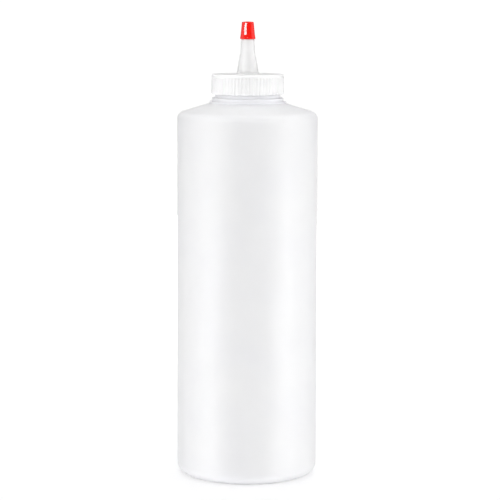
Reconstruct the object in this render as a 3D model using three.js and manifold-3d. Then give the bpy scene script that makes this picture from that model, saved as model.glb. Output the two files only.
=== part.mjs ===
// Condiment squeeze bottle: a blown bottle with a threaded neck, a seal ring, a fluted screw closure
// with a tall hollow spout, and a small cap that pulls off the spout's tip.
// Lengths are millimetres, angles are radians and +Z is up. The origin is the centre of the plane
// that the bottle stands on.

import * as THREE from 'three';
import { mergeVertices, toCreasedNormals } from 'three/addons/utils/BufferGeometryUtils.js';
import Module from 'manifold-3d';

const wasm = await Module();
wasm.setup();

const degree = Math.PI / 180;
const turn = 2 * Math.PI;

// Faceting of the round pieces
const bodyFacets = 64;
const spoutFacets = 32;
const arcSteps = 5;
const smallArcSteps = 3;
const creaseAngle = 32 * degree;

// Bottle body
const bodyRadius = 40;
const sideTopHeight = 203.6;
const bodyWall = 1.1;
const baseWall = 1.5;
const heelRadius = 5.9;
const footWidth = 3.1;
const pushUpHeight = 3;
const pushUpSlopeWidth = 5.5;
const shoulderCornerRadius = 4.6;
const shoulderSlope = 17 * degree;

// Seam that the mould leaves across the underside
const pinchLength = 44;
const pinchWidth = 1.1;
const pinchHeight = 0.5;

// Bottle neck
const beadRadius = 20.3;
const beadHeight = 2.45;
const beadRound = 0.7;
const collarRadius = 18.6;
const collarHeight = 1.75;
const collarSlopeHeight = 0.5;
const finishHeight = 10.7;
const boreRadius = 15.9;
const landChamfer = 0.35;
const throatHeight = 0.9;

// Screw thread, shared by the neck and the closure
const threadPitch = 4.233;
const threadDepth = 1.25;
const threadRootWidth = 2.2;
const threadCrestWidth = 1;
const neckCrestRadius = 18.7;
const neckThreadTurns = 1.25;
const neckThreadTopMargin = 1.14;
const capThreadTurns = 1.1;
const capThreadBottomMargin = 0.3;
const threadFadeTurns = 0.0625;
const threadSink = 0.35;
const threadClearance = 0.15;
const threadTipClearance = 0.4;

// Seal ring between the neck and the closure
const sealThickness = 0.9;
const seatClearance = 0.1;
const sealSideClearance = 0.3;

// Closure
const skirtGap = 2;
const skirtWall = 1.5;
const skirtFlare = 0.45;
const skirtClearance = 0.25;
const panelThickness = 1.5;
const rimRound = 0.6;
const fluteCount = 64;
const fluteDepth = 0.38;
const fluteMouthWidth = 1.15;
const fluteFloorWidth = 0.45;
const plainBandHeight = 1.5;
const plugDepth = 3;
const plugWall = 1;
const plugClearance = 0.3;

// Spout
const spoutFootRadius = 6.4;
const spoutFootFillet = 1.3;
const spoutConeHeight = 13.3;
const kneeRadius = 4.05;
const kneeRound = 1.2;
const spoutNeckHeight = 6.2;
const spoutNeckTopRadius = 3.9;
const tipRootRadius = 3.45;
const tipHeight = 8.15;
const tipEndRadius = 2.4;
const tipEndChamfer = 0.3;
const spoutWall = 1;
const orificeRadius = 0.9;
const orificeLength = 1;
const orificeFunnelHeight = 1.6;

// Tip cap
const tipCapLift = 0.2;
const tipCapClearance = 0.25;
const tipCapHeight = 9.95;
const tipCapTopRadius = 3.36;
const tipCapWallRadius = 4.06;
const tipCapRimRadius = 4.38;
const tipCapRimHeight = 0.8;
const tipCapRimSlope = 1.6;
const tipCapEdgeRound = 0.6;
const tipCapDome = 0.25;
const tipCapTopWall = 1.2;
const tipCapMouthFlare = 0.12;

// How far a cutting or joining solid runs past what it meets
const overrun = 0.5;

// Heights and radii that follow from the driving dimensions
const footOuterRadius = bodyRadius - heelRadius;
const footInnerRadius = footOuterRadius - footWidth;
const pushUpRadius = footInnerRadius - pushUpSlopeWidth;
const cornerCentreRadius = bodyRadius - shoulderCornerRadius;
const shoulderEdge = onArc(cornerCentreRadius, sideTopHeight, shoulderCornerRadius, turn / 4 - shoulderSlope);
const beadFootRadius = beadRadius - beadRound;
const shoulderRun = shoulderEdge.x - beadFootRadius;
const shoulderTopHeight = shoulderEdge.y + shoulderRun * Math.tan(shoulderSlope);
const beadTopHeight = shoulderTopHeight + beadHeight;
const neckTopHeight = beadTopHeight + finishHeight;
const neckRootRadius = neckCrestRadius - threadDepth;
const flankSlope = (threadRootWidth - threadCrestWidth) / 2 / threadDepth;

const sealBottomHeight = neckTopHeight + seatClearance;
const ceilingHeight = sealBottomHeight + sealThickness + seatClearance;
const closureTopHeight = ceilingHeight + panelThickness;
const skirtBottomHeight = beadTopHeight + skirtGap;
const skirtInnerRadius = neckCrestRadius + skirtClearance;
const closureRadius = skirtInnerRadius + skirtWall;
const plugOuterRadius = boreRadius - plugClearance;
const plugInnerRadius = plugOuterRadius - plugWall;
const capCrestRadius = neckRootRadius + threadTipClearance;

const kneeHeight = closureTopHeight + spoutConeHeight;
const tipRootHeight = kneeHeight + spoutNeckHeight;
const spoutEndHeight = tipRootHeight + tipHeight;
const tipCapBottomHeight = tipRootHeight + tipCapLift;
const tipCapTopHeight = tipCapBottomHeight + tipCapHeight;

// A point at an angle on an arc, in (radius, height)
function onArc(centreRadius, centreHeight, arcRadius, angle) {
  const radius = centreRadius + arcRadius * Math.cos(angle);
  const height = centreHeight + arcRadius * Math.sin(angle);
  return new THREE.Vector2(radius, height);
}

// The points of an arc, both ends included
function arc(centreRadius, centreHeight, arcRadius, from, to, steps) {
  const points = [];
  for (let step = 0; step <= steps; step += 1) {
    const angle = from + (to - from) * step / steps;
    points.push(onArc(centreRadius, centreHeight, arcRadius, angle));
  }
  return points;
}

function point(radius, height) {
  return new THREE.Vector2(radius, height);
}

// The straight line through two points, read at a height
function radiusAt(low, high, height) {
  return low.x + (high.x - low.x) * (height - low.y) / (high.y - low.y);
}

// A closed solid from the triangles of a geometry
function solidFrom(geometry) {
  const bare = geometry.clone();
  bare.deleteAttribute('normal');
  bare.deleteAttribute('uv');
  const merged = mergeVertices(bare);
  const mesh = new wasm.Mesh({
    numProp: 3,
    vertProperties: new Float32Array(merged.attributes.position.array),
    triVerts: new Uint32Array(merged.index.array),
  });
  return new wasm.Manifold(mesh);
}

// A named mesh from a closed solid
function meshFrom(name, solid, material) {
  const { numProp, vertProperties, triVerts } = solid.getMesh();
  const geometry = new THREE.BufferGeometry();
  const positions = new THREE.Float32BufferAttribute(vertProperties, numProp);
  geometry.setAttribute('position', positions);
  geometry.setIndex(new THREE.Uint32BufferAttribute(triVerts, 1));
  const mesh = new THREE.Mesh(toCreasedNormals(geometry, creaseAngle), material);
  mesh.name = name;
  return mesh;
}

// Turns an outline of (radius, height) points about the Z axis. The outline runs with the solid
// on its left, and it starts and ends on the axis or closes on itself.
function revolve(outline, facets) {
  const geometry = new THREE.LatheGeometry(outline, facets);
  geometry.rotateX(turn / 4);
  return solidFrom(geometry);
}

function closed(outline) {
  return [...outline, outline[0].clone()];
}

// One ridge of a right-hand screw thread, wound about the Z axis. The side is 1 for a ridge that
// stands out of a shaft and -1 for one that stands into a bore. The crest sinks away at both ends.
function threadRidge({ side, rootRadius, depth, crestWidth, startAngle, startHeight, turns }) {
  const steps = Math.round(turns * bodyFacets);
  const fadeSteps = Math.max(1, Math.round(threadFadeTurns * bodyFacets));
  const sunkRadius = rootRadius - side * threadSink;
  const sunkHalfWidth = crestWidth / 2 + flankSlope * (depth + threadSink);
  const sections = [];
  for (let step = 0; step <= steps; step += 1) {
    const share = Math.min(1, step / fadeSteps, (steps - step) / fadeSteps);
    const angle = startAngle + turn * step / bodyFacets;
    const height = startHeight + threadPitch * step / bodyFacets;
    const crestRadius = rootRadius + side * depth * share;
    const crestHalfWidth = crestWidth / 2 + flankSlope * depth * (1 - share);
    const section = [
      [sunkRadius, height - sunkHalfWidth],
      [crestRadius, height - crestHalfWidth],
      [crestRadius, height + crestHalfWidth],
      [sunkRadius, height + sunkHalfWidth],
    ];
    const place = ([radius, level]) => [radius * Math.cos(angle), radius * Math.sin(angle), level];
    sections.push(section.map(place));
  }
  const corners = sections[0].length;
  const triangles = [];
  const addTriangle = (a, b, c) => triangles.push(...(side > 0 ? [a, b, c] : [a, c, b]));
  for (let step = 0; step < steps; step += 1) {
    for (let corner = 0; corner < corners; corner += 1) {
      const here = step * corners + corner;
      const beside = step * corners + (corner + 1) % corners;
      addTriangle(here, here + corners, beside);
      addTriangle(beside, here + corners, beside + corners);
    }
  }
  const last = steps * corners;
  addTriangle(0, 1, 2);
  addTriangle(0, 2, 3);
  addTriangle(last, last + 2, last + 1);
  addTriangle(last, last + 3, last + 2);
  const geometry = new THREE.BufferGeometry();
  geometry.setAttribute('position', new THREE.Float32BufferAttribute(sections.flat(2), 3));
  geometry.setIndex(triangles);
  return solidFrom(geometry);
}

// Outside of the bottle, from the middle of its underside to the edge of its mouth
function bottleOutside() {
  return [
    point(0, pushUpHeight),
    point(pushUpRadius, pushUpHeight),
    point(footInnerRadius, 0),
    ...arc(footOuterRadius, heelRadius, heelRadius, -turn / 4, 0, arcSteps),
    ...arc(cornerCentreRadius, sideTopHeight, shoulderCornerRadius, 0, turn / 4 - shoulderSlope, arcSteps),
    ...arc(beadFootRadius, shoulderTopHeight + beadRound, beadRound, -turn / 4, 0, smallArcSteps),
    ...arc(beadFootRadius, beadTopHeight - beadRound, beadRound, 0, turn / 4, smallArcSteps),
    point(collarRadius, beadTopHeight),
    point(collarRadius, beadTopHeight + collarHeight),
    point(neckRootRadius, beadTopHeight + collarHeight + collarSlopeHeight),
    point(neckRootRadius, neckTopHeight - landChamfer),
    point(neckRootRadius - landChamfer, neckTopHeight),
  ];
}

// Inside of the bottle, from its mouth down to the middle of its floor
function bottleInside() {
  const innerCorner = shoulderCornerRadius - bodyWall;
  const innerHeel = heelRadius - bodyWall;
  const shoulderInside = onArc(cornerCentreRadius, sideTopHeight, innerCorner, turn / 4 - shoulderSlope);
  const throatRadius = boreRadius + throatHeight / Math.tan(turn / 8);
  const throatLowHeight = shoulderInside.y + (shoulderInside.x - throatRadius) * Math.tan(shoulderSlope);
  return [
    point(boreRadius + landChamfer, neckTopHeight),
    point(boreRadius, neckTopHeight - landChamfer),
    point(boreRadius, throatLowHeight + throatHeight),
    point(throatRadius, throatLowHeight),
    ...arc(cornerCentreRadius, sideTopHeight, innerCorner, turn / 4 - shoulderSlope, 0, arcSteps),
    ...arc(footOuterRadius, baseWall + innerHeel, innerHeel, 0, -turn / 4, arcSteps),
    point(footInnerRadius, baseWall),
    point(pushUpRadius, pushUpHeight + baseWall),
    point(0, pushUpHeight + baseWall),
  ];
}

// Seam left where the mould pinched the tube shut, under the middle of the floor
function pinchSeam() {
  const half = pinchWidth / 2;
  const section = new THREE.Shape([
    point(-half, overrun),
    point(-half / 2, -pinchHeight),
    point(half / 2, -pinchHeight),
    point(half, overrun),
  ]);
  const geometry = new THREE.ExtrudeGeometry(section, { depth: pinchLength, bevelEnabled: false });
  geometry.translate(0, 0, -pinchLength / 2);
  geometry.rotateX(turn / 4);
  geometry.rotateZ(turn / 4);
  geometry.translate(0, 0, pushUpHeight);
  return solidFrom(geometry);
}

// Height of the middle of the neck's thread where it starts, at its lower end
function neckThreadStart() {
  const topHeight = neckTopHeight - neckThreadTopMargin - threadRootWidth / 2;
  return topHeight - neckThreadTurns * threadPitch;
}

function neckThread() {
  return threadRidge({
    side: 1,
    rootRadius: neckRootRadius,
    depth: threadDepth,
    crestWidth: threadCrestWidth,
    startAngle: 0,
    startHeight: neckThreadStart(),
    turns: neckThreadTurns,
  });
}

// The closure's ridge lies under the neck's ridge, flank to flank, as it does when screwed down.
// Its starting angle puts it on that line at the height where the skirt lets it start.
function capThread() {
  const depth = skirtInnerRadius - capCrestRadius;
  const crestWidth = threadCrestWidth * (1 - threadTipClearance / threadDepth);
  const neckHalfWidth = threadRootWidth / 2 - flankSlope * threadTipClearance;
  const drop = neckHalfWidth + crestWidth / 2 + threadClearance;
  const halfWidth = crestWidth / 2 + flankSlope * depth;
  const startHeight = skirtBottomHeight + capThreadBottomMargin + halfWidth;
  const turnsUp = (startHeight + drop - neckThreadStart()) / threadPitch;
  const snapped = Math.round(turnsUp * bodyFacets) / bodyFacets;
  return threadRidge({
    side: -1,
    rootRadius: skirtInnerRadius,
    depth,
    crestWidth,
    startAngle: turn * snapped,
    startHeight: neckThreadStart() - drop + snapped * threadPitch,
    turns: capThreadTurns,
  });
}

function makeBottle(material) {
  const shell = revolve([...bottleOutside(), ...bottleInside()], bodyFacets);
  const solid = shell.add(neckThread()).add(pinchSeam());
  return meshFrom('bottle', solid, material);
}

function makeSealRing(material) {
  const innerRadius = plugOuterRadius + sealSideClearance;
  const outerRadius = skirtInnerRadius - sealSideClearance;
  const outline = closed([
    point(innerRadius, sealBottomHeight),
    point(outerRadius, sealBottomHeight),
    point(outerRadius, sealBottomHeight + sealThickness),
    point(innerRadius, sealBottomHeight + sealThickness),
  ]);
  return meshFrom('seal_ring', revolve(outline, bodyFacets), material);
}

// Skirt, top panel and plug ring of the closure, without the spout
function closureShell() {
  const outline = [
    point(0, ceilingHeight),
    point(plugInnerRadius, ceilingHeight),
    point(plugInnerRadius, ceilingHeight - plugDepth),
    point(plugOuterRadius, ceilingHeight - plugDepth),
    point(plugOuterRadius, ceilingHeight),
    point(skirtInnerRadius, ceilingHeight),
    point(skirtInnerRadius, skirtBottomHeight),
    point(closureRadius + skirtFlare, skirtBottomHeight),
    ...arc(closureRadius - rimRound, closureTopHeight - rimRound, rimRound, 0, turn / 4, smallArcSteps),
    point(0, closureTopHeight),
  ];
  return revolve(outline, bodyFacets);
}

// A groove tool that leans with the skirt and ends in a slope under the plain band
function fluteTool() {
  const section = new THREE.Shape([
    point(-fluteFloorWidth / 2, 0),
    point(fluteFloorWidth / 2, 0),
    point(fluteMouthWidth / 2, fluteDepth),
    point(fluteMouthWidth / 2, fluteDepth + overrun),
    point(-fluteMouthWidth / 2, fluteDepth + overrun),
    point(-fluteMouthWidth / 2, fluteDepth),
  ]);
  const length = closureTopHeight - plainBandHeight - skirtBottomHeight;
  const geometry = new THREE.ExtrudeGeometry(section, { depth: length + overrun, bevelEnabled: false });
  geometry.rotateZ(-turn / 4);
  const skirtStart = skirtBottomHeight - overrun;
  const run = closureTopHeight - rimRound - skirtBottomHeight;
  const lean = skirtFlare / run;
  const corners = geometry.attributes.position;
  for (let index = 0; index < corners.count; index += 1) {
    const rise = corners.getZ(index);
    const height = skirtStart + rise;
    const depthIn = corners.getX(index);
    const surface = closureRadius + lean * (closureTopHeight - rimRound - height);
    const slope = rise > length ? Math.max(0, fluteDepth - depthIn) : 0;
    corners.setX(index, surface - fluteDepth + depthIn);
    corners.setZ(index, height - slope);
  }
  return solidFrom(geometry);
}

// Outside of the spout, as a solid that stands on the closure's top panel. A narrow ledge at the
// root of the tip stops the tip cap.
function spoutOutside() {
  const foot = point(spoutFootRadius, closureTopHeight);
  const knee = point(kneeRadius, kneeHeight);
  const neckTop = point(spoutNeckTopRadius, tipRootHeight);
  const filletTopHeight = closureTopHeight + spoutFootFillet;
  const belowKnee = kneeHeight - kneeRound;
  const aboveKnee = kneeHeight + kneeRound;
  const kneeMiddle = (radiusAt(foot, knee, belowKnee) + radiusAt(knee, neckTop, aboveKnee)) / 2;
  return [
    point(0, ceilingHeight),
    point(spoutFootRadius + spoutFootFillet, ceilingHeight),
    point(spoutFootRadius + spoutFootFillet, closureTopHeight),
    ...footFillet(foot, knee, filletTopHeight),
    point(radiusAt(foot, knee, belowKnee), belowKnee),
    point((kneeMiddle + kneeRadius) / 2, kneeHeight),
    point(radiusAt(knee, neckTop, aboveKnee), aboveKnee),
    neckTop,
    point(tipRootRadius, tipRootHeight),
    point(tipEndRadius, spoutEndHeight - tipEndChamfer),
    point(tipEndRadius - tipEndChamfer, spoutEndHeight),
    point(0, spoutEndHeight),
  ];
}

// Hollow curve from the top panel up to the spout's cone, without its lower end
function footFillet(foot, knee, topHeight) {
  const points = [];
  const topRadius = radiusAt(foot, knee, topHeight);
  const reach = spoutFootRadius + spoutFootFillet - topRadius;
  for (let step = 1; step <= smallArcSteps; step += 1) {
    const angle = turn / 4 * step / smallArcSteps;
    const radius = topRadius + reach * (1 - Math.sin(angle));
    const height = topHeight - spoutFootFillet * Math.cos(angle);
    points.push(point(radius, height));
  }
  return points;
}

// The way through the spout, from under the top panel to the opening at the tip. It narrows one
// wall's thickness below the ledge, so that the wall under the ledge keeps its thickness.
function spoutPassage() {
  const funnelTopHeight = spoutEndHeight - orificeLength;
  return [
    point(0, ceilingHeight - overrun),
    point(spoutFootRadius - spoutWall, ceilingHeight - overrun),
    point(spoutFootRadius - spoutWall, closureTopHeight),
    point(kneeRadius - spoutWall, kneeHeight),
    point(spoutNeckTopRadius - spoutWall, tipRootHeight - spoutWall),
    point(tipRootRadius - spoutWall, tipRootHeight),
    point(tipEndRadius - spoutWall, funnelTopHeight - orificeFunnelHeight),
    point(orificeRadius, funnelTopHeight),
    point(orificeRadius, spoutEndHeight + overrun),
    point(0, spoutEndHeight + overrun),
  ];
}

function makeSpoutCap(material) {
  let solid = closureShell().add(capThread());
  const flute = fluteTool();
  for (let index = 0; index < fluteCount; index += 1) {
    const angle = 360 * (index + 0.5) / fluteCount;
    solid = solid.subtract(flute.rotate([0, 0, angle]));
  }
  solid = solid.add(revolve(spoutOutside(), spoutFacets));
  solid = solid.subtract(revolve(spoutPassage(), spoutFacets));
  return meshFrom('spout_cap', solid, material);
}

// The tip cap follows the taper of the spout's tip inside, with an even clearance
function makeTipCap(material) {
  const wallBottomHeight = tipCapBottomHeight + tipCapRimHeight + tipCapRimSlope;
  const edgeHeight = tipCapTopHeight - tipCapDome - tipCapEdgeRound;
  const root = point(tipRootRadius + tipCapClearance, tipRootHeight);
  const end = point(tipEndRadius + tipCapClearance, spoutEndHeight);
  const innerTopHeight = tipCapTopHeight - tipCapTopWall;
  const mouthRadius = radiusAt(root, end, tipCapBottomHeight);
  const flareTopHeight = tipCapBottomHeight + tipCapRimHeight;
  const outline = [
    point(0, innerTopHeight),
    point(radiusAt(root, end, innerTopHeight), innerTopHeight),
    point(radiusAt(root, end, flareTopHeight), flareTopHeight),
    point(mouthRadius + tipCapMouthFlare, tipCapBottomHeight),
    point(tipCapRimRadius, tipCapBottomHeight),
    point(tipCapRimRadius, tipCapBottomHeight + tipCapRimHeight),
    point(tipCapWallRadius, wallBottomHeight),
    ...arc(tipCapTopRadius - tipCapEdgeRound, edgeHeight, tipCapEdgeRound, 0, turn / 4, smallArcSteps),
    point(0, tipCapTopHeight),
  ];
  return meshFrom('tip_cap', revolve(outline, spoutFacets), material);
}

function bottlePlastic() {
  return new THREE.MeshStandardMaterial({ color: 0xf0f1f2, roughness: 0.42, metalness: 0 });
}

function closurePlastic() {
  return new THREE.MeshStandardMaterial({ color: 0xf4f4f3, roughness: 0.38, metalness: 0 });
}

function sealFoam() {
  return new THREE.MeshStandardMaterial({ color: 0xe9e7e1, roughness: 0.85, metalness: 0 });
}

function tipPlastic() {
  return new THREE.MeshStandardMaterial({ color: 0xe01b1b, roughness: 0.22, metalness: 0 });
}

const closureGroup = new THREE.Group();
closureGroup.add(makeSealRing(sealFoam()));
closureGroup.add(makeSpoutCap(closurePlastic()));
closureGroup.add(makeTipCap(tipPlastic()));

const group = new THREE.Group();
group.add(makeBottle(bottlePlastic()));
group.add(closureGroup);

export default group;
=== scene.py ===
import math

import bpy
import numpy as np
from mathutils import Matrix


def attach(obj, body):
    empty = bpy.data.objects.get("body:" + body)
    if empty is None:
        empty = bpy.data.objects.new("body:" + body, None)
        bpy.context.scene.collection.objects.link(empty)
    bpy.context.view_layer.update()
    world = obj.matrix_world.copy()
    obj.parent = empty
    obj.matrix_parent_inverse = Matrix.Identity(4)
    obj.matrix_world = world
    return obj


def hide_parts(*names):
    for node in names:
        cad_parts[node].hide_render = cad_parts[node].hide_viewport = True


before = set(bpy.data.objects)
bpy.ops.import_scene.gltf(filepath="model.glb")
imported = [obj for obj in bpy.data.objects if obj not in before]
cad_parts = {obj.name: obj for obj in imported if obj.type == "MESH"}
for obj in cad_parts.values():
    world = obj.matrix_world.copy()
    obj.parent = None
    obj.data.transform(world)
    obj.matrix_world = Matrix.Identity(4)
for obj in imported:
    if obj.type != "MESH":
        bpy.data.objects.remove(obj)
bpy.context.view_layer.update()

# Sizes are millimetres. Meshes, lamps and the camera are made in metres.
MM = 0.001
TURN = 2 * math.pi
DEGREE = math.pi / 180

# Columns of vertices round each piece. The skirt's grooves need more, and the spout fewer.
BODY_COLUMNS = 192
SKIRT_COLUMNS = 768
CLOSURE_COLUMNS = 192
SPOUT_COLUMNS = 96

# Steps of a rounding, and the angle up to which an edge is shaded smooth
ARC_STEP = 9 * DEGREE
ARC_LEAST_STEPS = 3
SMOOTH_ANGLE = 40 * DEGREE

# A straight stretch longer than this gets a point this far from both ends
LONG_STRETCH = 2
STRETCH_END = 0.12

# Bottle body
BODY_RADIUS = 40
SIDE_TOP = 203.6
BODY_WALL = 1.1
BASE_WALL = 1.5
HEEL_RADIUS = 5.9
FOOT_WIDTH = 3.1
FOOT_ROUND = 1.2
PUSH_UP = 3
PUSH_UP_SLOPE_WIDTH = 5.5
PUSH_UP_ROUND = 4
SHOULDER_CORNER = 4.6
SHOULDER_SLOPE = 17 * DEGREE
SIDE_ROW = 10

# Seams that the mould leaves: the pinched one under the floor and the fine one up both sides
PINCH_LENGTH = 44
PINCH_WIDTH = 1.1
PINCH_HEIGHT = 0.5
PINCH_SINK = 0.6
PINCH_TAPER = 1.5
PINCH_END_SHARE = 0.15
PINCH_END_RINGS = 6
PINCH_COLUMNS = 24
SEAM_HEIGHT = 0.05
SEAM_OFFSETS = (0.15, 0.3, 0.6)
SEAM_HALF_WIDTH = 0.3

# Bottle neck
BEAD_RADIUS = 20.3
BEAD_HEIGHT = 2.45
BEAD_ROUND = 0.7
BEAD_FOOT_ROUND = 0.6
BEAD_UNDERCUT = 0.1
COLLAR_RADIUS = 18.6
COLLAR_HEIGHT = 1.75
COLLAR_SLOPE_HEIGHT = 0.5
COLLAR_ROUND = 0.25
FINISH_HEIGHT = 10.7
BORE_RADIUS = 15.9
LAND_CHAMFER = 0.35
LAND_INSET = 0.75
THROAT_HEIGHT = 0.9
THROAT_ROUND = 1

# Screw thread, shared by the neck and the closure
PITCH = 4.233
THREAD_DEPTH = 1.25
THREAD_ROOT_WIDTH = 2.2
THREAD_CREST_WIDTH = 1
NECK_CREST_RADIUS = 18.7
NECK_TURNS = 1.25
NECK_TOP_MARGIN = 1.14
CAP_TURNS = 1.1
CAP_BOTTOM_MARGIN = 0.3
START_STEPS = 64
FADE_TURNS = 0.0625
THREAD_CLEARANCE = 0.15
THREAD_TIP_CLEARANCE = 0.4
THREAD_ROUND_SHARE = 0.12
THREAD_ROW = 0.12

# Seal ring
SEAL_THICKNESS = 0.9
SEAT_CLEARANCE = 0.1
SEAL_SIDE_CLEARANCE = 0.3
SEAL_ROUND = 0.14

# Closure
SKIRT_GAP = 2
SKIRT_WALL = 1.5
SKIRT_FLARE = 0.45
SKIRT_CLEARANCE = 0.25
PANEL_THICKNESS = 1.5
RIM_ROUND = 0.6
FLUTES = 64
FLUTE_DEPTH = 0.38
FLUTE_MOUTH = 1.25
FLUTE_FLOOR = 0.35
FLUTE_END = 0.5
FLUTE_END_ROW = 0.07
PLAIN_BAND = 1.5
PLUG_DEPTH = 3
PLUG_WALL = 1
PLUG_CLEARANCE = 0.3
EDGE_ROUND = 0.16
SKIRT_ROW = 1.2
PANEL_INSET = 0.4

# Spout
SPOUT_FOOT_RADIUS = 6.4
SPOUT_FOOT_FILLET = 1.3
SPOUT_FOOT_CLEAR = 2.2
SPOUT_CONE_HEIGHT = 13.3
KNEE_RADIUS = 4.05
KNEE_ROUND = 15
SPOUT_NECK_HEIGHT = 6.2
SPOUT_NECK_TOP_RADIUS = 3.9
TIP_LEDGE_ROUND = 0.15
TIP_ROOT_RADIUS = 3.45
TIP_HEIGHT = 8.15
TIP_END_RADIUS = 2.4
TIP_END_ROUND = 0.3
SPOUT_WALL = 1
ORIFICE_RADIUS = 0.9
ORIFICE_LENGTH = 1
ORIFICE_FUNNEL = 1.6

# Tip cap
TIP_CAP_LIFT = 0.2
TIP_CAP_CLEARANCE = 0.25
TIP_CAP_HEIGHT = 9.95
TIP_CAP_TOP_RADIUS = 3.36
TIP_CAP_WALL_RADIUS = 4.06
TIP_CAP_RIM_RADIUS = 4.38
TIP_CAP_RIM_HEIGHT = 0.8
TIP_CAP_RIM_SLOPE = 1.6
TIP_CAP_EDGE_ROUND = 0.6
TIP_CAP_DOME = 0.25
TIP_CAP_TOP_WALL = 1.2
TIP_CAP_MOUTH_FLARE = 0.12
TIP_CAP_RIM_ROUND = 0.25
DOME_ROWS = 6
GATE_RADIUS = 0.65
GATE_DEPTH = 0.12

# Plastics. Noise moves a colour and a roughness between two values. The blotch is the size of the
# colour's noise and the streak is that of the roughness. Each bump is the size of its blobs, how
# far they are drawn out along Z, and its height.
NOISE_DETAIL = 2
NOISE_SPAN = (0.3, 0.7)
STREAK_STRETCH = 12
POLYETHYLENE_IOR = 1.51
TIP_IOR = 1.5
FOAM_IOR = 1.5

BOTTLE_COLOURS = ((0.88, 0.88, 0.92), (0.905, 0.905, 0.943))
BOTTLE_ROUGHNESS = (0.4, 0.47)
BOTTLE_BLOTCH = 28
BOTTLE_STREAK = 3
BOTTLE_BUMPS = ((34, 1, 0.012), (1.1, 40, 0.004), (0.7, 1, 0.003))

CLOSURE_COLOURS = ((0.87, 0.87, 0.87), (0.895, 0.894, 0.892))
CLOSURE_ROUGHNESS = (0.33, 0.41)
CLOSURE_BLOTCH = 9
CLOSURE_STREAK = 1.5
CLOSURE_BUMPS = ((7, 1, 0.012), (0.45, 1, 0.003))

TIP_COLOURS = ((0.85, 0.009, 0.005), (0.89, 0.014, 0.008))
TIP_ROUGHNESS = (0.1, 0.15)
TIP_BLOTCH = 4
TIP_STREAK = 1
TIP_BUMPS = ((3, 1, 0.0015), (0.35, 1, 0.0005))

FOAM_COLOURS = ((0.83, 0.82, 0.78), (0.88, 0.87, 0.84))
FOAM_ROUGHNESS = (0.85, 0.95)
FOAM_BLOTCH = 0.8
FOAM_STREAK = 0.5
FOAM_BUMPS = ((0.25, 1, 0.02), (2, 1, 0.02))

# How far light travels inside the two white plastics
LIGHT_SPREAD = 2

WHITE = (1, 1, 1, 1)
BLACK = (0, 0, 0, 1)

# Camera. It looks down a little, where the photograph's was level with its frame shifted.
CAMERA_PLACE = (1.18, -1150, 275)
CAMERA_DOWN = 6.555 * DEGREE
CAMERA_ROLL = -0.17 * DEGREE
CAMERA_SENSOR = 36
CAMERA_LENS = 145.86
CAMERA_SHIFT = -0.05

# Light. Radiance 1 shows as white.
AMBIENT = 0.1

# The floor reaches to the horizon. It has a glow that is seen and lights nothing, which rises to 1
# between two distances from the bottle's axis.
FLOOR_SIZE = 400000
FLOOR_DROP = 0.02
FLOOR_COLOUR = 0.9
FLOOR_SEEN_COLOUR = 0.6
FLOOR_GLOW = 0.45
FLOOR_GLOW_REACH = (150, 700)

# Two curved cards, which only gloss shows. One is behind the bottle and grey, and the other is
# round the camera and black, as the dark side of a studio is.
CARD_RADIUS = 500
CARD_HEIGHTS = (170, 650)
CARD_HALF_ANGLE = 70 * DEGREE
CARD_GREY = 0.42
DARK_RADIUS = 1900
DARK_HEIGHTS = (-1500, 3000)
DARK_HALF_ANGLE = 60 * DEGREE
CARD_STEPS = 24

# Name, azimuth in degrees, distance from the axis, height, tilt in degrees, width, length, radiance,
# and whether it shows in gloss. Azimuth 0 is the camera's side. A lamp that shows in gloss does
# nothing else, and the others light the surfaces.
LAMPS = (
    ("left_side", -90, 900, 150, 0, 600, 800, 2.35, False),
    ("right_side", 90, 900, 150, 0, 600, 800, 2.95, False),
    ("front_fill", 0, 1600, 350, 8, 900, 900, 5.97, False),
    ("back_fill", 180, 1300, 300, 8, 1000, 900, 3.6, False),
    ("overhead", 0, 0, 1100, 90, 800, 800, 3.4, False),
    ("left_strip", -50, 300, -60, 0, 75, 500, 3.8, True),
    ("left_edge_strip", -66, 300, -60, 0, 110, 500, 3.2, True),
    ("right_strip", 60, 300, -60, 0, 60, 500, 6.3, True),
    ("cap_strip", -42, 600, 357, 9.7, 420, 60, 24, True),
)

# Heights and radii that follow
FOOT_OUTER = BODY_RADIUS - HEEL_RADIUS
FOOT_INNER = FOOT_OUTER - FOOT_WIDTH
PUSH_UP_RADIUS = FOOT_INNER - PUSH_UP_SLOPE_WIDTH
CORNER_CENTRE = BODY_RADIUS - SHOULDER_CORNER
SHOULDER_EDGE_RADIUS = CORNER_CENTRE + SHOULDER_CORNER * math.sin(SHOULDER_SLOPE)
SHOULDER_EDGE = SIDE_TOP + SHOULDER_CORNER * math.cos(SHOULDER_SLOPE)
BEAD_FOOT_RADIUS = BEAD_RADIUS - BEAD_ROUND
SHOULDER_TOP = SHOULDER_EDGE + (SHOULDER_EDGE_RADIUS - BEAD_FOOT_RADIUS) * math.tan(SHOULDER_SLOPE)
BEAD_TOP = SHOULDER_TOP + BEAD_HEIGHT
COLLAR_TOP = BEAD_TOP + COLLAR_HEIGHT + COLLAR_SLOPE_HEIGHT
NECK_TOP = BEAD_TOP + FINISH_HEIGHT
NECK_ROOT_RADIUS = NECK_CREST_RADIUS - THREAD_DEPTH
FLANK_SLOPE = (THREAD_ROOT_WIDTH - THREAD_CREST_WIDTH) / 2 / THREAD_DEPTH
SEAL_BOTTOM = NECK_TOP + SEAT_CLEARANCE
CEILING = SEAL_BOTTOM + SEAL_THICKNESS + SEAT_CLEARANCE
CLOSURE_TOP = CEILING + PANEL_THICKNESS
SKIRT_BOTTOM = BEAD_TOP + SKIRT_GAP
SKIRT_INNER = NECK_CREST_RADIUS + SKIRT_CLEARANCE
CLOSURE_RADIUS = SKIRT_INNER + SKIRT_WALL
SKIRT_BOTTOM_RADIUS = CLOSURE_RADIUS + SKIRT_FLARE
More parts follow.
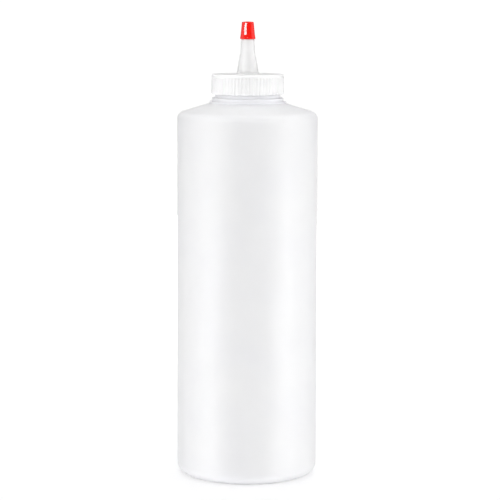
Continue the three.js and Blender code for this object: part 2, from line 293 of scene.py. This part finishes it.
PLUG_OUTER = BORE_RADIUS - PLUG_CLEARANCE
PLUG_INNER = PLUG_OUTER - PLUG_WALL
PANEL_OUTER = CLOSURE_RADIUS - RIM_ROUND - PANEL_INSET
SPOUT_CLEAR_RADIUS = SPOUT_FOOT_RADIUS + SPOUT_FOOT_CLEAR
PANEL_INNER = SPOUT_CLEAR_RADIUS + SPOUT_FOOT_CLEAR
KNEE = CLOSURE_TOP + SPOUT_CONE_HEIGHT
TIP_ROOT = KNEE + SPOUT_NECK_HEIGHT
SPOUT_END = TIP_ROOT + TIP_HEIGHT
TIP_CAP_BOTTOM = TIP_ROOT + TIP_CAP_LIFT
TIP_CAP_TOP = TIP_CAP_BOTTOM + TIP_CAP_HEIGHT

# The neck's ridge starts at angle 0. The closure's lies under it, flank to flank, and starts at
# the angle that puts it on that line where the skirt lets it start.
NECK_THREAD_START = NECK_TOP - NECK_TOP_MARGIN - THREAD_ROOT_WIDTH / 2 - NECK_TURNS * PITCH
CAP_THREAD_DEPTH = SKIRT_INNER - NECK_ROOT_RADIUS - THREAD_TIP_CLEARANCE
CAP_CREST_WIDTH = THREAD_CREST_WIDTH * (1 - THREAD_TIP_CLEARANCE / THREAD_DEPTH)
NECK_HALF_WIDTH = THREAD_ROOT_WIDTH / 2 - FLANK_SLOPE * THREAD_TIP_CLEARANCE
THREAD_DROP = NECK_HALF_WIDTH + CAP_CREST_WIDTH / 2 + THREAD_CLEARANCE
CAP_HALF_WIDTH = CAP_CREST_WIDTH / 2 + FLANK_SLOPE * CAP_THREAD_DEPTH
CAP_LOWEST_START = SKIRT_BOTTOM + CAP_BOTTOM_MARGIN + CAP_HALF_WIDTH
CAP_START_RISE = CAP_LOWEST_START + THREAD_DROP - NECK_THREAD_START
CAP_START_TURNS = round(CAP_START_RISE / PITCH * START_STEPS) / START_STEPS
CAP_THREAD_START = NECK_THREAD_START - THREAD_DROP + CAP_START_TURNS * PITCH


def rounded(corners):
    """An outline of (radius, height) points from (radius, height, rounding) corners."""
    points = []
    for index, (radius, height, rounding) in enumerate(corners):
        if not rounding:
            points.append((radius, height))
            continue
        here = np.array((radius, height), float)
        back = np.array(corners[index - 1][:2], float) - here
        ahead = np.array(corners[index + 1][:2], float) - here
        back /= np.linalg.norm(back)
        ahead /= np.linalg.norm(ahead)
        half = math.acos(float(back @ ahead)) / 2
        centre = here + (back + ahead) / np.linalg.norm(back + ahead) * rounding / math.sin(half)
        spoke = here + back * rounding / math.tan(half) - centre
        side = 1 if back[0] * ahead[1] < back[1] * ahead[0] else -1
        sweep = math.pi - 2 * half
        steps = max(ARC_LEAST_STEPS, math.ceil(sweep / ARC_STEP))
        for angle in np.linspace(0, side * sweep, steps + 1):
            cosine, sine = math.cos(angle), math.sin(angle)
            x = centre[0] + spoke[0] * cosine - spoke[1] * sine
            z = centre[1] + spoke[0] * sine + spoke[1] * cosine
            points.append((float(x), float(z)))
    return held(points)


def held(points):
    """The outline with a point near both ends of each long stretch, so that it's shaded straight."""
    result = [points[0]]
    for first, second in zip(points, points[1:]):
        length = math.dist(first, second)
        if length > LONG_STRETCH:
            for share in (STRETCH_END / length, 1 - STRETCH_END / length):
                radius = first[0] + (second[0] - first[0]) * share
                result.append((radius, first[1] + (second[1] - first[1]) * share))
        result.append(second)
    return result


def even_heights(low, high, step):
    """Heights from low to high, up or down, at most a step apart."""
    count = math.ceil(abs(high - low) / step) + 1
    return [float(height) for height in np.linspace(low, high, count)]


def wall(radius, low, high, step):
    """Corners at even heights up or down a straight wall."""
    return [(radius, height, 0) for height in even_heights(low, high, step)]


def line_radius(low, high, height):
    """The straight line through two (radius, height) points, read at a height."""
    return low[0] + (high[0] - low[0]) * (height - low[1]) / (high[1] - low[1])


def even_angles(columns):
    return TURN * np.arange(columns) / columns


def revolved(outline, angles, shape=None):
    """A ring of points for each point of an outline. A point on the axis gives a ring of one.

    The shape gives the radius at each angle where a ring isn't a plain circle.
    """
    rings = []
    for radius, height in outline:
        if radius == 0:
            rings.append(np.array([[0, 0, height]], float))
            continue
        radii = shape(radius, height, angles) if shape else np.full(len(angles), radius)
        heights = np.full(len(angles), height)
        rings.append(np.stack((radii * np.cos(angles), radii * np.sin(angles), heights), 1))
    return rings


def strip(first, first_count, second, second_count):
    """Faces between two rings. One may have several times the other's points, or be a single one."""
    sections = max(first_count, second_count)
    if min(first_count, second_count) > 1:
        sections = min(first_count, second_count)
    faces = []
    for section in range(sections):
        sides = []
        for start, count in ((first, first_count), (second, second_count)):
            times = count // sections
            side = [start + (section * times + k) % count for k in range(times + 1)]
            sides.append(side)
        faces.append(sides[0] + sides[1][::-1])
    return faces


def skin(name, rings, loop=False):
    """A closed mesh through rings of points. A loop joins the last ring to the first."""
    starts = np.cumsum([0] + [len(points) for points in rings])
    faces = []
    for index in range(len(rings) - (0 if loop else 1)):
        after = (index + 1) % len(rings)
        faces += strip(int(starts[index]), len(rings[index]), int(starts[after]), len(rings[after]))
    mesh = bpy.data.meshes.new(name)
    mesh.from_pydata((np.concatenate(rings) * MM).tolist(), [], faces)
    made = bpy.data.objects.new(name, mesh)
    bpy.context.scene.collection.objects.link(made)
    smooth(made)
    return made


def smooth(piece):
    piece.data.shade_smooth()
    piece.data.set_sharp_from_angle(angle=SMOOTH_ANGLE)


def soft_step(value):
    share = np.clip(value, 0, 1)
    return share * share * (3 - 2 * share)


def soft_clamp(value, rounding):
    """The value held between 0 and 1, with both bends rounded."""
    low = np.clip(value + rounding, 0, 2 * rounding) ** 2 / (4 * rounding)
    high = np.clip(1 + rounding - value, 0, 2 * rounding) ** 2 / (4 * rounding)
    middle = np.clip(value, rounding, 1 - rounding) - rounding
    return low + middle - high + rounding


def ridge(angles, height, start_turns, start_height, turns, depth, crest_width):
    """How far a thread's ridge stands out of its root at a height, for each angle."""
    root_half = crest_width / 2 + FLANK_SLOPE * depth
    result = np.zeros(len(angles))
    for lap in range(math.ceil(turns)):
        along = (angles / TURN - start_turns) % 1 + lap
        off = np.abs(height - start_height - along * PITCH)
        section = soft_clamp((root_half - off) / FLANK_SLOPE / depth, THREAD_ROUND_SHARE)
        fade = soft_step(np.minimum(along, turns - along) / FADE_TURNS)
        result = np.maximum(result, depth * np.minimum(section, fade))
    return result


def bottle_angles():
    """Even angles, with closer ones beside the seams up both sides."""
    angles = set(even_angles(BODY_COLUMNS))
    for side in (0, TURN / 2):
        for offset in SEAM_OFFSETS:
            angles.add((side + offset / BODY_RADIUS) % TURN)
            angles.add((side - offset / BODY_RADIUS) % TURN)
    return np.array(sorted(angles))


def bottle_radii(radius, height, angles):
    """The bottle's outside at a height, with the seams at both sides and the thread on the neck."""
    off = np.abs((angles + TURN / 4) % (TURN / 2) - TURN / 4) * BODY_RADIUS
    sink = SEAM_HEIGHT * soft_step(off / SEAM_HALF_WIDTH)
    reach = float(soft_step((height - PUSH_UP) / HEEL_RADIUS))
    rise = 0
    if height > COLLAR_TOP:
        rise = ridge(angles, height, 0, NECK_THREAD_START, NECK_TURNS, THREAD_DEPTH, THREAD_CREST_WIDTH)
    return radius - sink * reach + rise


def bottle_outside():
    """From the middle of the underside to the mouth."""
    shoulder_peak = SHOULDER_EDGE - (BODY_RADIUS - SHOULDER_EDGE_RADIUS) * math.tan(SHOULDER_SLOPE)
    thread_top = NECK_TOP - LAND_CHAMFER - EDGE_ROUND
    return rounded([
        (0, PUSH_UP, 0),
        (PUSH_UP_RADIUS, PUSH_UP, PUSH_UP_ROUND),
        (FOOT_INNER, 0, FOOT_ROUND),
        (BODY_RADIUS, 0, HEEL_RADIUS),
        *wall(BODY_RADIUS, HEEL_RADIUS + EDGE_ROUND, SIDE_TOP - EDGE_ROUND, SIDE_ROW),
        (BODY_RADIUS, shoulder_peak, SHOULDER_CORNER),
        (BEAD_FOOT_RADIUS, SHOULDER_TOP, BEAD_FOOT_ROUND),
        (BEAD_RADIUS, SHOULDER_TOP + BEAD_UNDERCUT, BEAD_ROUND - BEAD_UNDERCUT),
        (BEAD_RADIUS, BEAD_TOP, BEAD_ROUND),
        (COLLAR_RADIUS, BEAD_TOP, COLLAR_ROUND),
        (COLLAR_RADIUS, BEAD_TOP + COLLAR_HEIGHT, COLLAR_ROUND),
        (NECK_ROOT_RADIUS, COLLAR_TOP, COLLAR_ROUND),
        *wall(NECK_ROOT_RADIUS, COLLAR_TOP + COLLAR_ROUND, thread_top, THREAD_ROW),
        (NECK_ROOT_RADIUS, NECK_TOP, LAND_CHAMFER),
        (NECK_ROOT_RADIUS - LAND_INSET, NECK_TOP, 0),
    ])


def bottle_inside():
    """From the mouth to the middle of the floor."""
    slope = math.tan(SHOULDER_SLOPE)
    inner_corner = SHOULDER_CORNER - BODY_WALL
    edge_radius = CORNER_CENTRE + inner_corner * math.sin(SHOULDER_SLOPE)
    edge_height = SIDE_TOP + inner_corner * math.cos(SHOULDER_SLOPE)
    inner_radius = BODY_RADIUS - BODY_WALL
    throat_radius = BORE_RADIUS + THROAT_HEIGHT
    throat_height = edge_height + (edge_radius - throat_radius) * slope
    return rounded([
        (BORE_RADIUS + LAND_INSET, NECK_TOP, 0),
        (BORE_RADIUS, NECK_TOP, LAND_CHAMFER),
        (BORE_RADIUS, throat_height + THROAT_HEIGHT, THROAT_ROUND),
        (throat_radius, throat_height, THROAT_ROUND / 2),
        (inner_radius, edge_height - (inner_radius - edge_radius) * slope, inner_corner),
        *wall(inner_radius, SIDE_TOP - EDGE_ROUND, BASE_WALL + HEEL_RADIUS, SIDE_ROW),
        (inner_radius, BASE_WALL, HEEL_RADIUS - BODY_WALL),
        (FOOT_INNER, BASE_WALL, FOOT_ROUND),
        (PUSH_UP_RADIUS, PUSH_UP + BASE_WALL, PUSH_UP_ROUND),
        (0, PUSH_UP + BASE_WALL, 0),
    ])


def pinch_seam():
    """The bar that the mould pinches under the floor, along X, with its top sunk in the floor."""
    half_length = PINCH_LENGTH / 2
    places = [(-half_length, 0), (half_length, 0)]
    for share in np.linspace(PINCH_END_SHARE, 1, PINCH_END_RINGS):
        lengthwise = half_length - PINCH_TAPER * (1 - math.sqrt(1 - share ** 2))
        places += [(lengthwise, share), (-lengthwise, share)]
    rings = []
    angles = even_angles(PINCH_COLUMNS)
    for x, share in sorted(places):
        if share == 0:
            rings.append(np.array([[x, 0, PUSH_UP + PINCH_SINK / 2]]))
            continue
        across = np.cos(angles) * PINCH_WIDTH / 2 * share
        down = np.where(np.sin(angles) < 0, PINCH_HEIGHT, PINCH_SINK) * np.sin(angles) * share
        rings.append(np.stack((np.full(len(angles), x), across, PUSH_UP + down), 1))
    return skin("pinch_seam", rings)


def joined(piece, tool):
    """The piece with the tool's solid joined to it."""
    modifier = piece.modifiers.new("join", "BOOLEAN")
    modifier.operation = "UNION"
    modifier.solver = "EXACT"
    modifier.object = tool
    shaped = piece.evaluated_get(bpy.context.evaluated_depsgraph_get())
    mesh = bpy.data.meshes.new_from_object(shaped)
    piece.modifiers.clear()
    piece.data = mesh
    bpy.data.objects.remove(tool)
    smooth(piece)
    return piece


def make_bottle():
    angles = bottle_angles()
    rings = revolved(bottle_outside(), angles, bottle_radii) + revolved(bottle_inside(), angles)
    return joined(skin("squeeze_bottle", rings), pinch_seam())


def make_seal():
    inner = PLUG_OUTER + SEAL_SIDE_CLEARANCE
    outer = SKIRT_INNER - SEAL_SIDE_CLEARANCE
    top = SEAL_BOTTOM + SEAL_THICKNESS
    middle = (inner + outer) / 2
    # The outline ends where it starts, and that point is left out once.
    outline = rounded([
        (middle, SEAL_BOTTOM, 0),
        (outer, SEAL_BOTTOM, SEAL_ROUND),
        (outer, top, SEAL_ROUND),
        (inner, top, SEAL_ROUND),
        (inner, SEAL_BOTTOM, SEAL_ROUND),
        (middle, SEAL_BOTTOM, 0),
    ])[:-1]
    return skin("foam_seal", revolved(outline, even_angles(CLOSURE_COLUMNS)), loop=True)


def skirt_radii(radius, height, angles):
    """The skirt's outside at a height, with its grooves, which run out under the plain band."""
    pitch = TURN / FLUTES
    off = np.abs(angles % pitch - pitch / 2) * CLOSURE_RADIUS
    groove = soft_step((FLUTE_MOUTH / 2 - off) / (FLUTE_MOUTH - FLUTE_FLOOR) * 2)
    reach = float(soft_step((CLOSURE_TOP - PLAIN_BAND - height) / FLUTE_END))
    return radius - FLUTE_DEPTH * groove * reach


def skirt_outside():
    """From the skirt's lower edge, over the rim, to the edge of the flat top.

    The first corner only turns the rounding of the second, and is left out.
    """
    foot = (SKIRT_BOTTOM_RADIUS, SKIRT_BOTTOM)
    rim = (CLOSURE_RADIUS, CLOSURE_TOP - RIM_ROUND)
    band = CLOSURE_TOP - PLAIN_BAND
    heights = even_heights(SKIRT_BOTTOM + 2 * EDGE_ROUND, band - FLUTE_END, SKIRT_ROW)
    heights += even_heights(band - FLUTE_END, band, FLUTE_END_ROW)[1:]
    side = [(line_radius(foot, rim, height), height, 0) for height in heights]
    return rounded([
        (SKIRT_BOTTOM_RADIUS - SKIRT_WALL / 2, SKIRT_BOTTOM, 0),
        (*foot, EDGE_ROUND),
        *side,
        (CLOSURE_RADIUS, CLOSURE_TOP, RIM_ROUND),
        (PANEL_OUTER, CLOSURE_TOP, 0),
    ])[1:]


def spout_outline():
    """From the flat top, up the spout, over its tip and down the passage to the closure's ceiling."""
    foot_bore = SPOUT_FOOT_RADIUS - SPOUT_WALL
    tip_bore = TIP_ROOT_RADIUS - SPOUT_WALL
    funnel_top = SPOUT_END - ORIFICE_LENGTH
    return rounded([
        (SPOUT_CLEAR_RADIUS, CLOSURE_TOP, 0),
        (SPOUT_FOOT_RADIUS, CLOSURE_TOP, SPOUT_FOOT_FILLET),
        (KNEE_RADIUS, KNEE, KNEE_ROUND),
        (SPOUT_NECK_TOP_RADIUS, TIP_ROOT, TIP_LEDGE_ROUND),
        (TIP_ROOT_RADIUS, TIP_ROOT, TIP_LEDGE_ROUND),
        (TIP_END_RADIUS, SPOUT_END, TIP_END_ROUND),
        (ORIFICE_RADIUS, SPOUT_END, EDGE_ROUND),
        (ORIFICE_RADIUS, funnel_top, EDGE_ROUND),
        (TIP_END_RADIUS - SPOUT_WALL, funnel_top - ORIFICE_FUNNEL, EDGE_ROUND),
        (tip_bore, TIP_ROOT, 0),
        (SPOUT_NECK_TOP_RADIUS - SPOUT_WALL, TIP_ROOT - SPOUT_WALL, 0),
        (KNEE_RADIUS - SPOUT_WALL, KNEE, KNEE_ROUND),
        (foot_bore, CLOSURE_TOP, 0),
        (foot_bore, CEILING, EDGE_ROUND),
        (SPOUT_CLEAR_RADIUS, CEILING, 0),
    ])


def closure_inside():
    """From the ceiling, round the plug ring, to the skirt's lower edge.

    The last corner only turns the rounding of the one before it, and is left out.
    """
    return rounded([
        (PANEL_INNER, CEILING, 0),
        (PLUG_INNER, CEILING, EDGE_ROUND),
        (PLUG_INNER, CEILING - PLUG_DEPTH, EDGE_ROUND),
        (PLUG_OUTER, CEILING - PLUG_DEPTH, 2 * EDGE_ROUND),
        (PLUG_OUTER, CEILING, EDGE_ROUND),
        (SKIRT_INNER, CEILING, EDGE_ROUND),
        *wall(SKIRT_INNER, CEILING - 2 * EDGE_ROUND, SKIRT_BOTTOM + 2 * EDGE_ROUND, THREAD_ROW),
        (SKIRT_INNER, SKIRT_BOTTOM, EDGE_ROUND),
        (SKIRT_INNER + SKIRT_WALL / 2, SKIRT_BOTTOM, 0),
    ])[:-1]


def closure_inner_radii(radius, height, angles):
    """The closure's inside at a height, with its thread."""
    if radius < SKIRT_INNER:
        return np.full(len(angles), radius)
    return radius - ridge(
        angles, height, CAP_START_TURNS, CAP_THREAD_START, CAP_TURNS, CAP_THREAD_DEPTH, CAP_CREST_WIDTH
    )


def make_closure():
    closure_angles = even_angles(CLOSURE_COLUMNS)
    panel = [
        (PANEL_OUTER - PANEL_INSET, CLOSURE_TOP),
        (PANEL_INNER, CLOSURE_TOP),
    ]
    rings = revolved(skirt_outside(), even_angles(SKIRT_COLUMNS), skirt_radii)
    rings += revolved(panel, closure_angles)
    rings += revolved(spout_outline(), even_angles(SPOUT_COLUMNS))
    rings += revolved(closure_inside(), closure_angles, closure_inner_radii)
    return skin("spout_closure", rings, loop=True)


def tip_cap_top():
    """The low dome of the tip cap, from its rounded edge to the dimple that the mould's gate leaves."""
    radius = TIP_CAP_TOP_RADIUS - TIP_CAP_EDGE_ROUND
    points = []
    for share in np.linspace(1, GATE_RADIUS / radius, DOME_ROWS)[1:]:
        points.append((radius * float(share), TIP_CAP_TOP - TIP_CAP_DOME * float(share) ** 2, 0))
    return points


def make_tip_cap():
    root = (TIP_ROOT_RADIUS + TIP_CAP_CLEARANCE, TIP_ROOT)
    end = (TIP_END_RADIUS + TIP_CAP_CLEARANCE, SPOUT_END)
    inner_top = TIP_CAP_TOP - TIP_CAP_TOP_WALL
    rim_top = TIP_CAP_BOTTOM + TIP_CAP_RIM_HEIGHT
    edge_height = TIP_CAP_TOP - TIP_CAP_DOME
    outline = rounded([
        (0, inner_top, 0),
        (line_radius(root, end, inner_top), inner_top, EDGE_ROUND),
        (line_radius(root, end, rim_top), rim_top, 0),
        (line_radius(root, end, TIP_CAP_BOTTOM) + TIP_CAP_MOUTH_FLARE, TIP_CAP_BOTTOM, EDGE_ROUND / 2),
        (TIP_CAP_RIM_RADIUS, TIP_CAP_BOTTOM, TIP_CAP_RIM_ROUND),
        (TIP_CAP_RIM_RADIUS, rim_top, TIP_CAP_RIM_ROUND),
        (TIP_CAP_WALL_RADIUS, rim_top + TIP_CAP_RIM_SLOPE, TIP_CAP_RIM_SLOPE),
        (TIP_CAP_TOP_RADIUS, edge_height, TIP_CAP_EDGE_ROUND),
        *tip_cap_top(),
        (GATE_RADIUS, TIP_CAP_TOP - GATE_DEPTH, 0),
        (0, TIP_CAP_TOP - GATE_DEPTH, 0),
    ])
    return skin("red_tip_cap", revolved(outline, even_angles(SPOUT_COLUMNS)))


def new_material(name):
    made = bpy.data.materials.new(name)
    made.use_nodes = True
    return made


def noise(material, size, stretch):
    """Noise with blobs of a size in millimetres, which the stretch draws out along Z."""
    nodes, links = material.node_tree.nodes, material.node_tree.links
    place = nodes.new("ShaderNodeTexCoord")
    scale = nodes.new("ShaderNodeMapping")
    every = 1 / (size * MM)
    scale.inputs["Scale"].default_value = (every, every, every / stretch)
    texture = nodes.new("ShaderNodeTexNoise")
    texture.inputs["Scale"].default_value = 1
    texture.inputs["Detail"].default_value = NOISE_DETAIL
    links.new(place.outputs["Object"], scale.inputs["Vector"])
    links.new(scale.outputs["Vector"], texture.inputs["Vector"])
    return texture.outputs["Fac"]


def mapped(material, value, low, high):
    """A value that goes from low to high as the noise goes through its usual span."""
    node = material.node_tree.nodes.new("ShaderNodeMapRange")
    node.inputs["From Min"].default_value = NOISE_SPAN[0]
    node.inputs["From Max"].default_value = NOISE_SPAN[1]
    node.inputs["To Min"].default_value = low
    node.inputs["To Max"].default_value = high
    material.node_tree.links.new(value, node.inputs["Value"])
    return node.outputs["Result"]


def tinted(material, value, first, second):
    """A colour between two, by noise."""
    node = material.node_tree.nodes.new("ShaderNodeMix")
    node.data_type = "RGBA"
    node.inputs["A"].default_value = (*first, 1)
    node.inputs["B"].default_value = (*second, 1)
    material.node_tree.links.new(mapped(material, value, 0, 1), node.inputs["Factor"])
    return node.outputs["Result"]


def bumped(material, bumps):
    """A normal from several layers of bump."""
    nodes, links = material.node_tree.nodes, material.node_tree.links
    normal = None
    for size, stretch, height in bumps:
        node = nodes.new("ShaderNodeBump")
        node.inputs["Distance"].default_value = height * MM
        links.new(noise(material, size, stretch), node.inputs["Height"])
        if normal:
            links.new(normal, node.inputs["Normal"])
        normal = node.outputs["Normal"]
    return normal


def plastic(name, colours, roughness, ior, blotch, streak, bumps, spread=0):
    """Moulded plastic or foam: its colour, gloss and surface vary a little, as its wall and flow do.

    The spread is how far light travels inside it, in millimetres.
    """
    made = new_material(name)
    links = made.node_tree.links
    shader = made.node_tree.nodes["Principled BSDF"]
    shader.inputs["IOR"].default_value = ior
    if spread:
        shader.inputs["Subsurface Weight"].default_value = 1
        shader.inputs["Subsurface Radius"].default_value = (1, 1, 1)
        shader.inputs["Subsurface Scale"].default_value = spread * MM
    colour = tinted(made, noise(made, blotch, 1), *colours)
    gloss = mapped(made, noise(made, streak, STREAK_STRETCH), *roughness)
    links.new(colour, shader.inputs["Base Color"])
    links.new(gloss, shader.inputs["Roughness"])
    links.new(bumped(made, bumps), shader.inputs["Normal"])
    return made


def bottle_plastic():
    """Natural low-density polyethylene, with a satin skin and faint lines drawn up its wall."""
    return plastic(
        "bottle_polyethylene", BOTTLE_COLOURS, BOTTLE_ROUGHNESS, POLYETHYLENE_IOR,
        BOTTLE_BLOTCH, BOTTLE_STREAK, BOTTLE_BUMPS, LIGHT_SPREAD
    )


def closure_plastic():
    """The closure's plastic, which is a little glossier and takes the mould's fine texture."""
    return plastic(
        "closure_polyethylene", CLOSURE_COLOURS, CLOSURE_ROUGHNESS, POLYETHYLENE_IOR,
        CLOSURE_BLOTCH, CLOSURE_STREAK, CLOSURE_BUMPS, LIGHT_SPREAD
    )


def tip_plastic():
    """Glossy red polyethylene."""
    return plastic(
        "red_polyethylene", TIP_COLOURS, TIP_ROUGHNESS, TIP_IOR,
        TIP_BLOTCH, TIP_STREAK, TIP_BUMPS
    )


def seal_foam():
    """Fine closed-cell foam."""
    return plastic(
        "seal_foam", FOAM_COLOURS, FOAM_ROUGHNESS, FOAM_IOR,
        FOAM_BLOTCH, FOAM_STREAK, FOAM_BUMPS
    )


def dress(piece, body, node, material):
    """Gives a piece its material and its body, and hides the imported part of the node that it stands
    for.
    """
    piece.data.materials.clear()
    piece.data.materials.append(material)
    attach(piece, body)
    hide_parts(node)


def make_camera():
    data = bpy.data.cameras.new("camera")
    data.sensor_width = CAMERA_SENSOR
    data.lens = CAMERA_LENS
    data.shift_y = CAMERA_SHIFT
    made = bpy.data.objects.new("camera", data)
    made.location = [value * MM for value in CAMERA_PLACE]
    made.rotation_euler = (TURN / 4 - CAMERA_DOWN, CAMERA_ROLL, 0)
    bpy.context.scene.collection.objects.link(made)
    bpy.context.scene.camera = made


def make_lamp(name, azimuth, distance, height, tilt, width, length, radiance, in_gloss):
    """A soft rectangular lamp that faces the bottle's axis and leans down by its tilt."""
    data = bpy.data.lights.new(name, "AREA")
    data.shape = "RECTANGLE"
    data.size = width * MM
    data.size_y = length * MM
    data.energy = radiance * math.pi * data.size * data.size_y
    made = bpy.data.objects.new(name, data)
    around = azimuth * DEGREE
    place = (math.sin(around) * distance, -math.cos(around) * distance, height)
    made.location = [value * MM for value in place]
    made.rotation_euler = (TURN / 4 - tilt * DEGREE, 0, around)
    made.visible_camera = False
    made.visible_glossy = in_gloss
    made.visible_diffuse = not in_gloss
    bpy.context.scene.collection.objects.link(made)


def seen_directly(tree):
    """1 for camera, glossy and transmission rays, and 0 for the rays that light a surface."""
    path = tree.nodes.new("ShaderNodeLightPath")
    value = path.outputs["Is Camera Ray"]
    for name in ("Is Glossy Ray", "Is Transmission Ray"):
        both = tree.nodes.new("ShaderNodeMath")
        both.operation = "MAXIMUM"
        tree.links.new(value, both.inputs[0])
        tree.links.new(path.outputs[name], both.inputs[1])
        value = both.outputs["Value"]
    return value


def make_world():
    """White where it is seen directly, and a weak even light on the surfaces."""
    world = bpy.data.worlds.new("studio")
    world.use_nodes = True
    tree = world.node_tree
    output = tree.nodes["World Output"]
    ambient = tree.nodes["Background"]
    ambient.inputs["Color"].default_value = WHITE
    ambient.inputs["Strength"].default_value = AMBIENT
    white = tree.nodes.new("ShaderNodeBackground")
    white.inputs["Color"].default_value = WHITE
    mix = tree.nodes.new("ShaderNodeMixShader")
    tree.links.new(seen_directly(tree), mix.inputs["Fac"])
    tree.links.new(ambient.outputs["Background"], mix.inputs[1])
    tree.links.new(white.outputs["Background"], mix.inputs[2])
    tree.links.new(mix.outputs["Shader"], output.inputs["Surface"])
    world.cycles.sampling_method = "NONE"
    bpy.context.scene.world = world


def floor_colour(tree, seen):
    """The floor's colour as it lights the bottle from below, and the darker one that is seen."""
    colour = tree.nodes.new("ShaderNodeMix")
    colour.data_type = "RGBA"
    colour.inputs["A"].default_value = (FLOOR_COLOUR, FLOOR_COLOUR, FLOOR_COLOUR, 1)
    colour.inputs["B"].default_value = (FLOOR_SEEN_COLOUR, FLOOR_SEEN_COLOUR, FLOOR_SEEN_COLOUR, 1)
    tree.links.new(seen, colour.inputs["Factor"])
    return colour.outputs["Result"]


def floor_glow(tree, seen):
    """The glow that makes the seen floor white, and keeps the bottle's shadow on it pale."""
    place = tree.nodes.new("ShaderNodeTexCoord")
    away = tree.nodes.new("ShaderNodeVectorMath")
    away.operation = "LENGTH"
    tree.links.new(place.outputs["Object"], away.inputs[0])
    strength = tree.nodes.new("ShaderNodeMapRange")
    strength.inputs["From Min"].default_value = FLOOR_GLOW_REACH[0] * MM
    strength.inputs["From Max"].default_value = FLOOR_GLOW_REACH[1] * MM
    strength.inputs["To Min"].default_value = FLOOR_GLOW
    tree.links.new(away.outputs["Value"], strength.inputs["Value"])
    glow = tree.nodes.new("ShaderNodeMath")
    glow.operation = "MULTIPLY"
    tree.links.new(seen, glow.inputs[0])
    tree.links.new(strength.outputs["Result"], glow.inputs[1])
    return glow.outputs["Value"]


def floor_material():
    """A matt white floor."""
    made = new_material("white_floor")
    tree = made.node_tree
    shader = tree.nodes["Principled BSDF"]
    shader.inputs["Roughness"].default_value = 1
    shader.inputs["Specular IOR Level"].default_value = 0
    shader.inputs["Emission Color"].default_value = WHITE
    seen = seen_directly(tree)
    tree.links.new(floor_colour(tree, seen), shader.inputs["Base Color"])
    tree.links.new(floor_glow(tree, seen), shader.inputs["Emission Strength"])
    made.cycles.emission_sampling = "NONE"
    return made


def make_floor():
    """The floor, which gloss doesn't show and which blocks no lamp."""
    half = FLOOR_SIZE / 2 * MM
    height = -FLOOR_DROP * MM
    mesh = bpy.data.meshes.new("floor")
    square = ((-half, -half), (half, -half), (half, half), (-half, half))
    mesh.from_pydata([(x, y, height) for x, y in square], [], [(0, 1, 2, 3)])
    made = bpy.data.objects.new("floor", mesh)
    mesh.materials.append(floor_material())
    made.visible_glossy = False
    made.visible_shadow = False
    bpy.context.scene.collection.objects.link(made)


def make_card(name, azimuth, half_angle, radius, heights, grey):
    """A curved card round the bottle's axis, which only gloss shows. Its middle is at the azimuth."""
    angles = np.linspace(azimuth - half_angle, azimuth + half_angle, CARD_STEPS + 1)
    points = []
    for angle in angles:
        for height in heights:
            place = (radius * math.sin(angle), -radius * math.cos(angle), height)
            points.append([value * MM for value in place])
    faces = [(2 * step, 2 * step + 1, 2 * step + 3, 2 * step + 2) for step in range(CARD_STEPS)]
    mesh = bpy.data.meshes.new(name)
    mesh.from_pydata(points, [], faces)
    material = new_material(name)
    shader = material.node_tree.nodes["Principled BSDF"]
    shader.inputs["Base Color"].default_value = BLACK
    shader.inputs["Specular IOR Level"].default_value = 0
    shader.inputs["Emission Color"].default_value = WHITE
    shader.inputs["Emission Strength"].default_value = grey
    material.cycles.emission_sampling = "NONE"
    mesh.materials.append(material)
    made = bpy.data.objects.new(name, mesh)
    made.visible_camera = False
    made.visible_diffuse = False
    made.visible_transmission = False
    made.visible_shadow = False
    bpy.context.scene.collection.objects.link(made)


make_camera()
dress(make_bottle(), "bottle", "bottle", bottle_plastic())
dress(make_seal(), "seal_ring", "seal_ring", seal_foam())
dress(make_closure(), "spout_cap", "spout_cap", closure_plastic())
dress(make_tip_cap(), "tip_cap", "tip_cap", tip_plastic())

make_world()
make_floor()
make_card("grey_card", TURN / 2, CARD_HALF_ANGLE, CARD_RADIUS, CARD_HEIGHTS, CARD_GREY)
make_card("dark_card", 0, DARK_HALF_ANGLE, DARK_RADIUS, DARK_HEIGHTS, 0)
for lamp in LAMPS:
    make_lamp(*lamp)
bpy.context.scene.view_settings.view_transform = "Standard"
